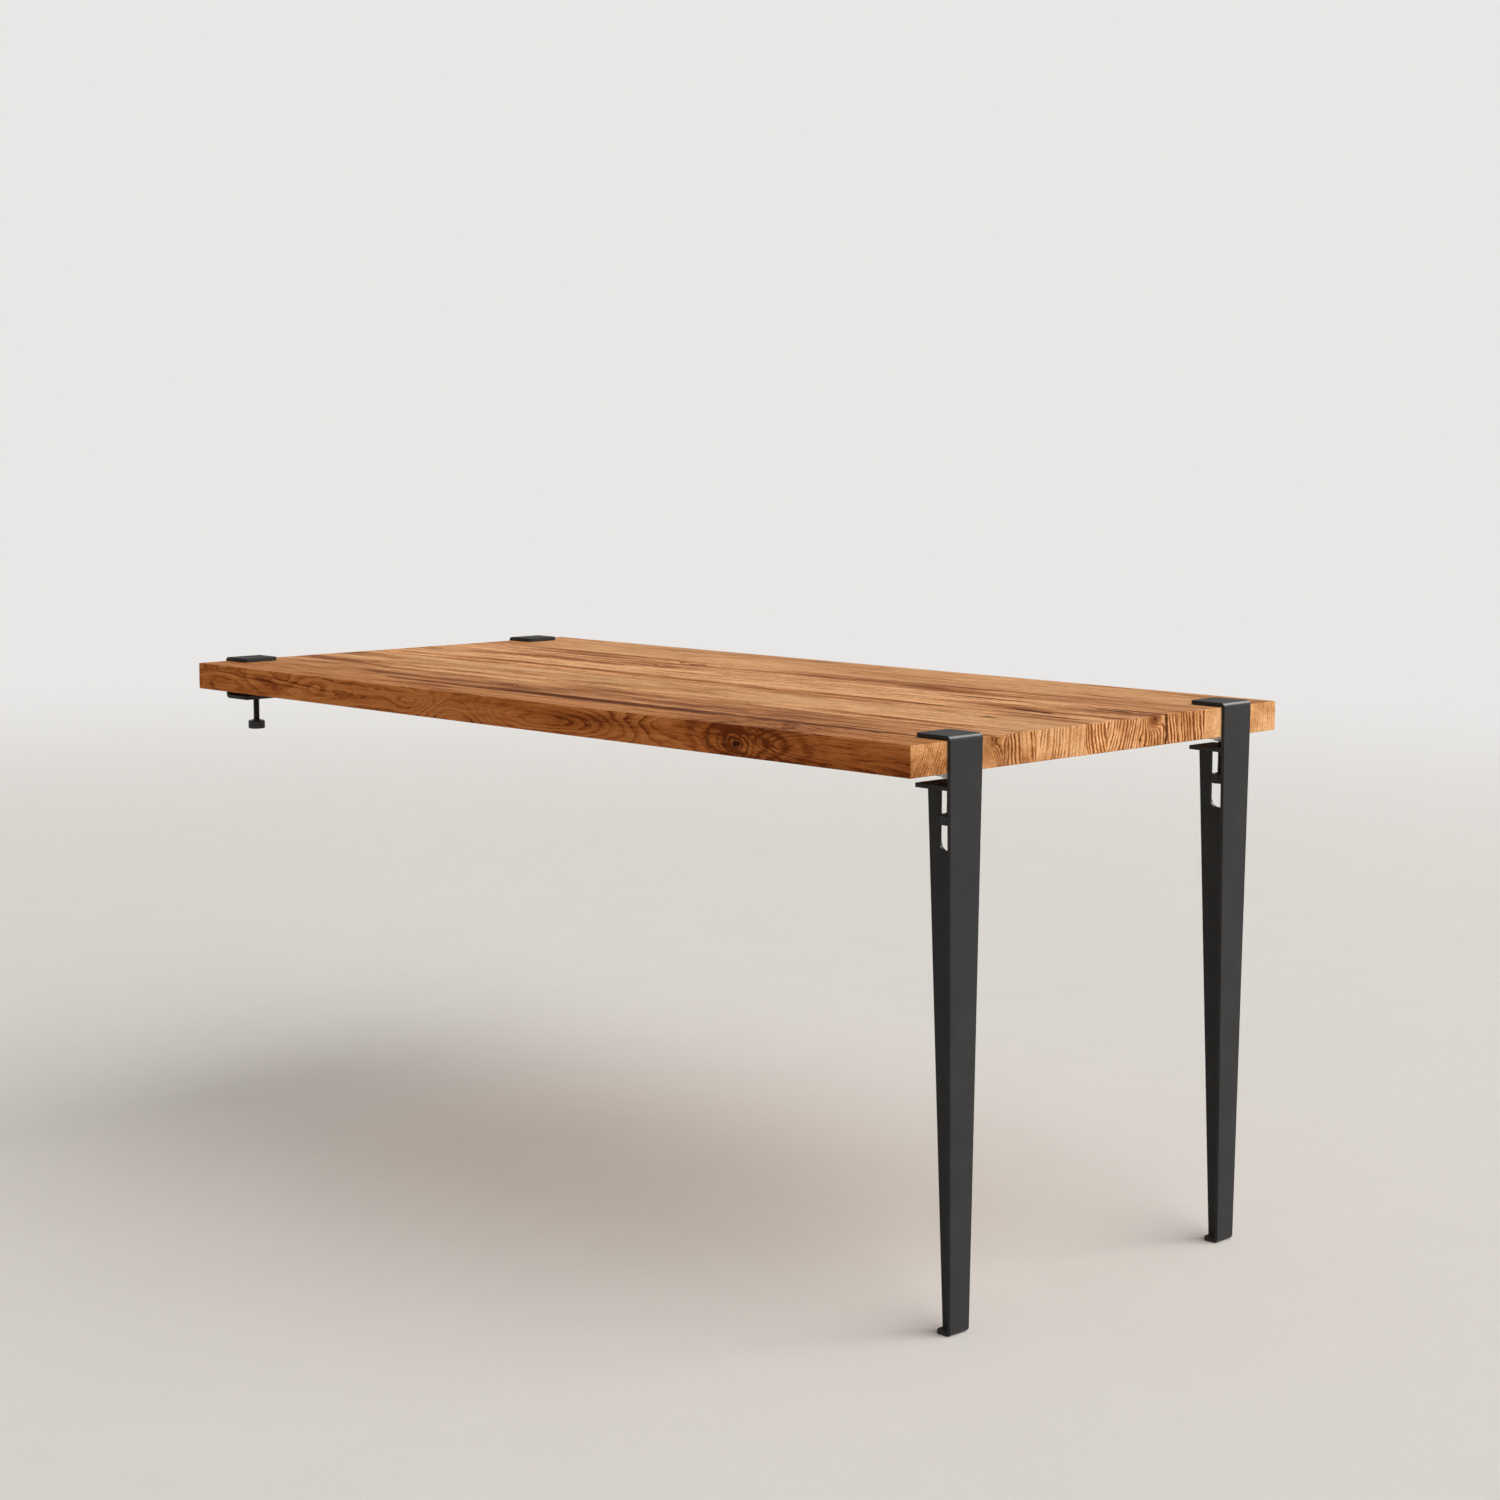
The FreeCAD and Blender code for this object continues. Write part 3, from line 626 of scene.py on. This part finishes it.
def oak(number):
    """The finish of one stave."""
    stave = {**PLAIN_STAVE, **STAVES[number]}
    strength = stave["strength"]
    finish, net, shader, place = new_finish(f"oak_stave_{number}", Specular_IOR_Level=OAK_SHINE)
    seed = number * STAVE_SEED
    axes = net.split(place)
    facing = net.vector("ABSOLUTE", net.node("ShaderNodeNewGeometry").outputs["Normal"])
    on_end, on_side, on_top = net.split(facing)

    bent = bend(net, place, stave, seed)
    radius = pith_distance(net, place, bent, on_end, stave, seed)
    radius, knot_dark = grow_knots(net, place, radius, stave, seed)
    radius = swell_rings(net, bent, radius, stave)
    early, rings = year_rings(net, radius, on_end, stave, seed)
    minor = net.math("COSINE", net.math("MULTIPLY", radius, 2 * math.pi / (MINOR_RING * MM)))
    split = splits(net, number, axes, place, stave, seed)
    pores = net.math("MULTIPLY", net.rise(wood_noise(net, "pores", place, seed), 0.56, 0.70),
                     net.math("MULTIPLY_ADD", early, 0.7, 0.3))
    fibre = net.rise(wood_noise(net, "fibre", bent, seed), 0.42, 0.74)
    streak = net.rise(wood_noise(net, "streak", bent, seed), 0.46, 0.70)
    cloud = wood_noise(net, "cloud", place, seed)

    dark = ring_darkness(net, rings, on_end, place, strength, seed)
    dark = net.math("MULTIPLY_ADD", net.math("MULTIPLY_ADD", minor, 0.5, 0.5), MINOR_DARK, dark)
    drawn = net.math("MULTIPLY_ADD", streak, STREAK_DARK + STREAK_DARK_RINGED * min(strength, 1.0),
                     net.math("MULTIPLY", fibre, FIBRE_DARK))
    dark = net.math("MULTIPLY_ADD", drawn, net.math("MULTIPLY_ADD", on_top, TOP_DRAWN, 1.0), dark)
    dark = net.math("MULTIPLY_ADD", pores, PORE_DARK, dark)
    mark = net.math("MAXIMUM", knot_dark, split)
    dark = net.math("MULTIPLY_ADD", mark, MARK_DARK, dark)

    colour = net.ramp(dark, [(0.0, OAK_LIGHT), (0.45, OAK_MIDDLE), (1.0, OAK_DARK)])
    colour = net.vector("MULTIPLY", colour, stave["tint"])
    colour = net.scale(colour, net.math("MULTIPLY_ADD", cloud, 0.40, 0.84))
    # Painted light by face: the long sides get a painted shade, darker and redder; the ends a
    # painted sheen, lighter and paler; the broad faces a change that is partly the stave's tone and
    # partly a painted sheen.
    side_shade_mask, end_sheen_mask = net.rise(on_side, *FACE_TURN), net.rise(on_end, *FACE_TURN)
    painted_face_light = net.blend(side_shade_mask, (*stave["broad_tone_and_sheen"], 1.0), (*stave["side"], 1.0))
    painted_face_light = net.blend(end_sheen_mask, painted_face_light, (*END_PAINTED_SHEEN, 1.0))
    colour = net.vector("MULTIPLY", colour, painted_face_light)
    colour = net.blend(net.rise(mark, 0.50, 1.05), colour, (*KNOT_BLACK, 1.0))
    net.put(shader.inputs["Base Color"], colour)
    net.put(shader.inputs["Roughness"], net.math("MULTIPLY_ADD", dark, 0.16, 0.56))
    hollow = net.math("MULTIPLY_ADD", split, 0.8, net.math("MULTIPLY_ADD", rings, 0.5, pores))
    net.put(shader.inputs["Normal"], net.bump(net.math("MULTIPLY", hollow, -1.0), 0.45, 0.0006))
    return finish


for number in STAVES:
    dress(f"tabletop_stave_{number}", oak(number))
print("staves finished:", len(STAVES))

# %% [markdown]
# ## Black powder coat
# Legs and brackets are folded steel with a matt black powder coat. A plain black would look like
# a hole, because powder melts into a skin with a fine orange-peel texture. So the finish is near
# black with a soft sheen, a fine bump and a trace of grey. Faces that look up are duller than the
# rest, as dust and wear leave them.

# %% Coat the steel
COAT_BLACK = (0.026, 0.026, 0.0265)
COAT_GREY = (0.053, 0.052, 0.050)
COAT_ROUGH, COAT_ROUGH_DRIFT, COAT_ROUGH_UP = 0.27, 0.10, 0.40
PEEL_CELLS, DRIFT_CELLS, SPECK_CELLS = 620.0, 22.0, 1700.0

powder_coat, net, shader, place = new_finish("black_powder_coat", Specular_IOR_Level=0.09)
peel = net.noise(place, PEEL_CELLS, 3.0)
drift = net.noise(place, DRIFT_CELLS, 4.0, 2.0)
speck = net.rise(net.noise(place, SPECK_CELLS, 0.0, 4.0), 0.62, 0.8)
grey = net.math("MULTIPLY_ADD", speck, 0.5, net.math("MULTIPLY", drift, 0.5))
net.put(shader.inputs["Base Color"], net.blend(grey, (*COAT_BLACK, 1.0), (*COAT_GREY, 1.0)))
facing_up = net.rise(
    net.split(net.node("ShaderNodeNewGeometry").outputs["Normal"])[2], 0.90, 0.995)
worn = net.math("MULTIPLY_ADD", facing_up, COAT_ROUGH_UP,
                net.math("MULTIPLY", drift, COAT_ROUGH_DRIFT))
net.put(shader.inputs["Roughness"], net.math("ADD", worn, COAT_ROUGH))
net.put(shader.inputs["Normal"], net.bump(peel, 0.4, 0.0003))

SIDES = ("left", "right")
COATED = ("leg_blade", "leg_rib", "leg_lower_jaw", "bracket_plate")
for side in SIDES:
    for steel in COATED:
        dress(f"{side}_{steel}", powder_coat)
print("coated steel pieces:", len(COATED) * len(SIDES))

# %% [markdown]
# ## Jaw liners and the plastic of the pads
# A thin dark rubber sheet keeps each upper jaw off the wood. Only its edge shows, so it keeps its
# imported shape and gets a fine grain. Under the top, a pale frosted pad spreads the screw's push.
# If it were clear, the screw would show in it, so its plastic only lets a little light in. It is
# mixed here, and the pads are turned further on, with the screws.

# %% Liners and pad plastic
RUBBER_BLACK, RUBBER_GREY = (0.012, 0.012, 0.012), (0.03, 0.03, 0.03)
FROST_DIM, FROST_PALE = (0.86, 0.85, 0.88), (0.95, 0.94, 0.96)
RUBBER_CELLS, FROST_CELLS = 1300.0, 800.0

rubber, net, shader, place = new_finish("liner_rubber", Roughness=0.8)
crumb = net.noise(place, RUBBER_CELLS, 3.0)
net.put(shader.inputs["Base Color"], net.ramp(crumb, [(0.3, RUBBER_BLACK), (0.8, RUBBER_GREY)]))
net.put(shader.inputs["Normal"], net.bump(crumb, 0.3, 0.0002))

frosted, net, shader, place = new_finish(
    "frosted_plastic", Roughness=0.45, Subsurface_Weight=0.7, Subsurface_Radius=(0.02, 0.02, 0.02))
frost = net.noise(place, FROST_CELLS, 3.0)
net.put(shader.inputs["Base Color"], net.ramp(frost, [(0.2, FROST_DIM), (0.8, FROST_PALE)]))
net.put(shader.inputs["Normal"], net.bump(frost, 0.2, 0.0001))

CLAMPS = [f"{side}_{kind}" for side in SIDES for kind in ("leg", "bracket")]
for clamp in CLAMPS:
    dress(f"{clamp}_jaw_liner", rubber)
print("clamps lined:", len(CLAMPS))

# %% [markdown]
# ## Hand screws
# Each clamp is tightened by a turned steel screw with a knurled knob pressed on its foot. The
# steel is blackened, which dulls it, so its finish is only part metal. It is a little uneven in
# tone, and a bump draws the fine rings left by the lathe tool.

# %% Screw steel
SCREW_BLACK, SCREW_GREY = (0.022, 0.022, 0.023), (0.045, 0.044, 0.043)
TONE_CELLS = 260.0
TOOL_CELLS = (20.0, 20.0, 5200.0)

screw_steel, net, shader, place = new_finish("black_screw_steel", Metallic=0.35)
tone = net.noise(place, TONE_CELLS, 3.0)
turned = net.noise(place, TOOL_CELLS, 1.0, 3.0)
net.put(shader.inputs["Base Color"], net.ramp(tone, [(0.3, SCREW_BLACK), (0.8, SCREW_GREY)]))
net.put(shader.inputs["Roughness"], net.math("MULTIPLY_ADD", tone, 0.15, 0.36))
net.put(shader.inputs["Normal"], net.bump(turned, 0.12, 0.0001))
print("screw steel ready")

# %% [markdown]
# ### A lathe
# Spindles, knobs and pads are turned pieces. They could be put together from cylinders and cones,
# but a half section that is spun round the axis gives one closed skin, as on a lathe.


# %% Spin a section
def spin(name, section, segments):
    """A closed turned mesh: a half section of (radius, height), axis to axis, spun about Z."""
    shape = bmesh.new()
    rows = []
    for radius, height in section:
        turns = [2 * math.pi * k / segments for k in range(segments if radius else 1)]
        rows.append([
            shape.verts.new((radius * math.cos(a), radius * math.sin(a), height)) for a in turns])
    for upper, lower in zip(rows, rows[1:]):
        for k in range(segments):
            corners = [upper[k % len(upper)], lower[k % len(lower)],
                       lower[(k + 1) % len(lower)], upper[(k + 1) % len(upper)]]
            shape.faces.new(list(dict.fromkeys(corners)))
    bmesh.ops.recalc_face_normals(shape, faces=shape.faces)
    mesh = bpy.data.meshes.new(name)
    shape.to_mesh(mesh)
    shape.free()
    return mesh


print("lathe ready")

# %% [markdown]
# ### Groove trees
# Thread and knurl follow a rule round the axis. By hand they would be thousands of points to move,
# and this is what Geometry Nodes are for: one tree cuts a helical groove and the other cuts two
# crossing families of grooves. Both only move points inwards, so a cut piece stays inside its
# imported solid.

# %% Rules for thread and knurl
TINY = 1e-6


def thread_depth(net, inputs, turns, z):
    """A V groove that climbs one pitch to the turn."""
    climb = net.math("SUBTRACT", net.math("DIVIDE", z, inputs["Pitch"]), turns)
    crest = net.math("MULTIPLY", net.math("PINGPONG", climb, 0.5), 2.0)
    return net.math("MULTIPLY", inputs["Depth"], net.math("SUBTRACT", 1.0, crest))


def knurl_depth(net, inputs, turns, z):
    """Two families of V grooves that cross and leave diamonds standing."""
    around = net.math("MULTIPLY", turns, inputs["Count"])
    along = net.math("DIVIDE", net.math("SUBTRACT", z, inputs["Bottom"]), inputs["Pitch"])
    one = net.math("PINGPONG", net.math("ADD", around, along), 0.5)
    other = net.math("PINGPONG", net.math("SUBTRACT", around, along), 0.5)
    crest = net.math("MULTIPLY", net.math("MINIMUM", one, other), 2.0)
    return net.math("MULTIPLY", inputs["Depth"], net.math("SUBTRACT", 1.0, crest))


print("depth rules: thread, knurl")


# %% Build the trees
def groove_tree(name, sizes, depth_rule):
    """A tree that pulls the points of a turned face in by depth_rule(net, inputs, turns, z)."""
    tree = bpy.data.node_groups.new(name, "GeometryNodeTree")
    tree.interface.new_socket("Geometry", in_out="INPUT", socket_type="NodeSocketGeometry")
    tree.interface.new_socket("Geometry", in_out="OUTPUT", socket_type="NodeSocketGeometry")
    for size in sizes:
        tree.interface.new_socket(size, in_out="INPUT", socket_type="NodeSocketFloat")
    tree.interface.new_socket("Finish", in_out="INPUT", socket_type="NodeSocketMaterial")
    net = Net(tree)
    inputs = net.node("NodeGroupInput").outputs
    x, y, z = net.split(net.node("GeometryNodeInputPosition").outputs[0])
    turns = net.math("DIVIDE", net.math("ARCTAN2", y, x), 2 * math.pi)
    squares = net.math("ADD", net.math("MULTIPLY", x, x), net.math("MULTIPLY", y, y))
    outer = net.math("SQRT", squares)
    on_rim = net.math("GREATER_THAN", outer, net.math("SUBTRACT", inputs["Radius"], TINY))
    between = net.math("MULTIPLY", net.math("LESS_THAN", z, inputs["Top"]),
                       net.math("GREATER_THAN", z, inputs["Bottom"]))
    on_face = net.math("MULTIPLY", on_rim, between)
    depth = net.math("MULTIPLY", depth_rule(net, inputs, turns, z), on_face)
    pull = net.math("DIVIDE", depth, net.math("MAXIMUM", outer, TINY))
    inward = net.scale(net.join(x, y, 0.0), net.math("MULTIPLY", pull, -1.0))
    moved = net.node("GeometryNodeSetPosition", {"Geometry": inputs["Geometry"], "Offset": inward})
    whole = net.node("GeometryNodeRealizeInstances", [moved.outputs[0]])
    coated = net.node(
        "GeometryNodeSetMaterial", {"Geometry": whole.outputs[0], "Material": inputs["Finish"]})
    net.put(net.node("NodeGroupOutput").inputs[0], coated.outputs[0])
    return tree


GROOVE_SIZES = ("Radius", "Top", "Bottom", "Depth", "Pitch")
THREAD_TREE = groove_tree("thread", GROOVE_SIZES, thread_depth)
KNURL_TREE = groove_tree("knurl", (*GROOVE_SIZES, "Count"), knurl_depth)
print("groove trees:", THREAD_TREE.name, KNURL_TREE.name)

# %% [markdown]
# A tree is run on a blank from the lathe. It could stay on the piece as a modifier, but the piece
# is wanted as a plain mesh, so the result is kept and the blank goes.


# %% Cut a blank
def cut(mesh, tree, finish, **sizes):
    """Run a groove tree on a turned mesh and return the result as a plain mesh."""
    blank = bpy.data.objects.new(mesh.name, mesh)
    scene.collection.objects.link(blank)
    modifier = blank.modifiers.new(tree.name, "NODES")
    modifier.node_group = tree
    for socket in tree.interface.items_tree:
        if socket.in_out == "INPUT" and socket.name in sizes:
            modifier[socket.identifier] = float(sizes[socket.name])
        elif socket.in_out == "INPUT" and socket.name == "Finish":
            modifier[socket.identifier] = finish
    bpy.context.view_layer.update()
    evaluated = blank.evaluated_get(bpy.context.evaluated_depsgraph_get())
    result = bpy.data.meshes.new_from_object(evaluated)
    blank.modifiers.clear()
    name = mesh.name
    bpy.data.objects.remove(blank)
    bpy.data.meshes.remove(mesh)
    result.name = name
    return result


print("cutter ready")

# %% [markdown]
# ### The spindle
# The spindle is a threaded rod with a necked nose that snaps into the pad. Its radius and ends are
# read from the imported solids' boxes, so that it follows them if they change. The thread has a
# usual metric pitch, with eight rows of points to the pitch, and starts with a chamfer.

# %% Section of the spindle
SPINDLE_SEGMENTS = 32
THREAD_PITCH = 0.0015
THREAD_DEPTH = 0.0008
THREAD_STEPS = 8
NOSE_RADIUS = 0.0045
NOSE_HEIGHT = 0.003
NECK_RADIUS = 0.0030
PAD_PLAY = 0.0002


def steps(high, low, count):
    return [high + (low - high) * k / count for k in range(count + 1)]


def make_spindle(clamp):
    """Nose, neck and threaded rod, down to the face of the knob's boss."""
    (low, high), pad_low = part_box(f"{clamp}_spindle"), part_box(f"{clamp}_pressure_pad")[0][2]
    radius = (high[0] - low[0]) / 2
    shoulder = pad_low - PAD_PLAY
    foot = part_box(f"{clamp}_knob")[1][2]
    count = round((shoulder - foot) / THREAD_PITCH * THREAD_STEPS)
    section = [(0, high[2]), (NOSE_RADIUS, high[2]), (NOSE_RADIUS, high[2] - NOSE_HEIGHT),
               (NECK_RADIUS, high[2] - NOSE_HEIGHT), (NECK_RADIUS, shoulder),
               (radius - THREAD_DEPTH, shoulder)]
    section += [(radius, z) for z in steps(shoulder - THREAD_DEPTH, foot, count)] + [(0, foot)]
    rod = spin(f"{clamp}_threaded_spindle", section, SPINDLE_SEGMENTS)
    return cut(
        rod, THREAD_TREE, screw_steel, Radius=radius, Top=shoulder - THREAD_DEPTH,
        Bottom=foot + TINY, Depth=THREAD_DEPTH, Pitch=THREAD_PITCH)


print("thread pitch:", THREAD_PITCH, "depth:", THREAD_DEPTH)

# %% [markdown]
# ### The pressure pad
# The pad is a moulded disc with a smaller hub below it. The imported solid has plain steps, and here
# the edges are rounded. The hub is hollow, so that the spindle's nose can turn in it while the pad
# stays still on the wood.

# %% Section of the pad
PAD_SEGMENTS = 72
PAD_DISC = 0.0062
PAD_FACE = 0.003
PAD_TOP_EDGE = 0.0006
PAD_EDGE = 0.0012
PAD_EDGE_MIDDLE = 0.0004
PAD_HUB = 0.011
HUB_FILLET = 0.0008
HUB_TAPER = 0.0003


def make_pad(clamp):
    """A flat disc with a smaller hub below it, hollow for the spindle's nose."""
    low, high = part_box(f"{clamp}_pressure_pad")
    radius = (high[0] - low[0]) / 2
    top, foot = high[2], low[2]
    disc, ceiling = top - PAD_DISC, top - PAD_FACE
    lip = top - PAD_FACE - NOSE_HEIGHT - PAD_PLAY
    neck, hollow = NECK_RADIUS + PAD_PLAY, NOSE_RADIUS + PAD_PLAY
    section = [
        (0, top), (radius - PAD_TOP_EDGE, top), (radius, top - PAD_TOP_EDGE),
        (radius, disc + PAD_EDGE), (radius - PAD_EDGE_MIDDLE, disc + PAD_EDGE_MIDDLE),
        (radius - PAD_EDGE, disc), (PAD_HUB + HUB_FILLET, disc), (PAD_HUB, disc - HUB_FILLET),
        (PAD_HUB - HUB_TAPER, foot), (neck, foot), (neck, lip), (hollow, lip), (hollow, ceiling),
        (0, ceiling),
    ]
    mesh = spin(f"{clamp}_moulded_pad", section, PAD_SEGMENTS)
    mesh.materials.append(frosted)
    return mesh


print("pad disc:", PAD_DISC, "hub radius:", PAD_HUB)

# %% [markdown]
# ### The knob
# The knob has a small boss above, a chamfered rim and a shallow dish below. A bump could fake the
# knurl, but its outline shows against the light, so the rim gets points enough to cut diamonds
# about two millimetres across.

# %% Section of the knob
KNURL_COUNT = 40
KNURL_ROWS = 5
KNURL_STEPS = 4
KNURL_DEPTH = 0.0005
KNOB_EDGE = 0.0012
BOSS_HEIGHT = 0.0015
BOSS_RADIUS = 0.0065
BOSS_EDGE = 0.0003
DISH_RIM, DISH_FLOOR = 0.62, 0.58    # shares of the knob's radius
DISH_DEPTH = 0.0004


def make_knob(clamp):
    """Boss, chamfered rim and dished underside, with the rim knurled."""
    low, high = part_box(f"{clamp}_knob")
    radius = (high[0] - low[0]) / 2
    top, foot = high[2] - BOSS_HEIGHT, low[2]
    rim_top, rim_foot = top - KNOB_EDGE, foot + KNOB_EDGE
    section = [(0, high[2]), (BOSS_RADIUS - BOSS_EDGE, high[2]),
               (BOSS_RADIUS, high[2] - BOSS_EDGE), (BOSS_RADIUS, top), (radius - KNOB_EDGE, top)]
    section += [(radius, z) for z in steps(rim_top, rim_foot, KNURL_STEPS * KNURL_ROWS)]
    section += [(radius - KNOB_EDGE, foot), (radius * DISH_RIM, foot),
                (radius * DISH_FLOOR, foot + DISH_DEPTH), (0, foot + DISH_DEPTH)]
    knob = spin(f"{clamp}_knurled_knob", section, KNURL_STEPS * KNURL_COUNT)
    return cut(
        knob, KNURL_TREE, screw_steel, Radius=radius, Top=rim_top - TINY, Bottom=rim_foot,
        Depth=KNURL_DEPTH, Pitch=(rim_top - rim_foot) / KNURL_ROWS, Count=KNURL_COUNT)


print("knurl grooves:", KNURL_COUNT, "rows:", KNURL_ROWS)

# %% [markdown]
# ### Fit the screws
# Each turned piece is moved onto its clamp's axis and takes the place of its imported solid. Spindle
# and knob ride on the hand screw, which turns and climbs, and the pad only slides.

# %% Turn and fit
SHARP_ANGLE = math.radians(32)

for clamp in CLAMPS:
    low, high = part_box(f"{clamp}_spindle")
    axis = Vector(((low[0] + high[0]) / 2, (low[1] + high[1]) / 2, 0))
    for maker, node, body, material in (
        (make_spindle, "spindle", "hand_screw", "black_screw_steel"),
        (make_knob, "knob", "hand_screw", "black_screw_steel"),
        (make_pad, "pressure_pad", "pad", "frosted_plastic"),
    ):
        mesh = maker(clamp)
        mesh.transform(Matrix.Translation(axis))
        mesh.set_sharp_from_angle(angle=SHARP_ANGLE)
        piece = bpy.data.objects.new(mesh.name, mesh)
        scene.collection.objects.link(piece)
        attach(piece, f"{clamp}_{body}")
        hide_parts(f"{clamp}_{node}")
        print(piece.name, len(mesh.polygons), "faces")
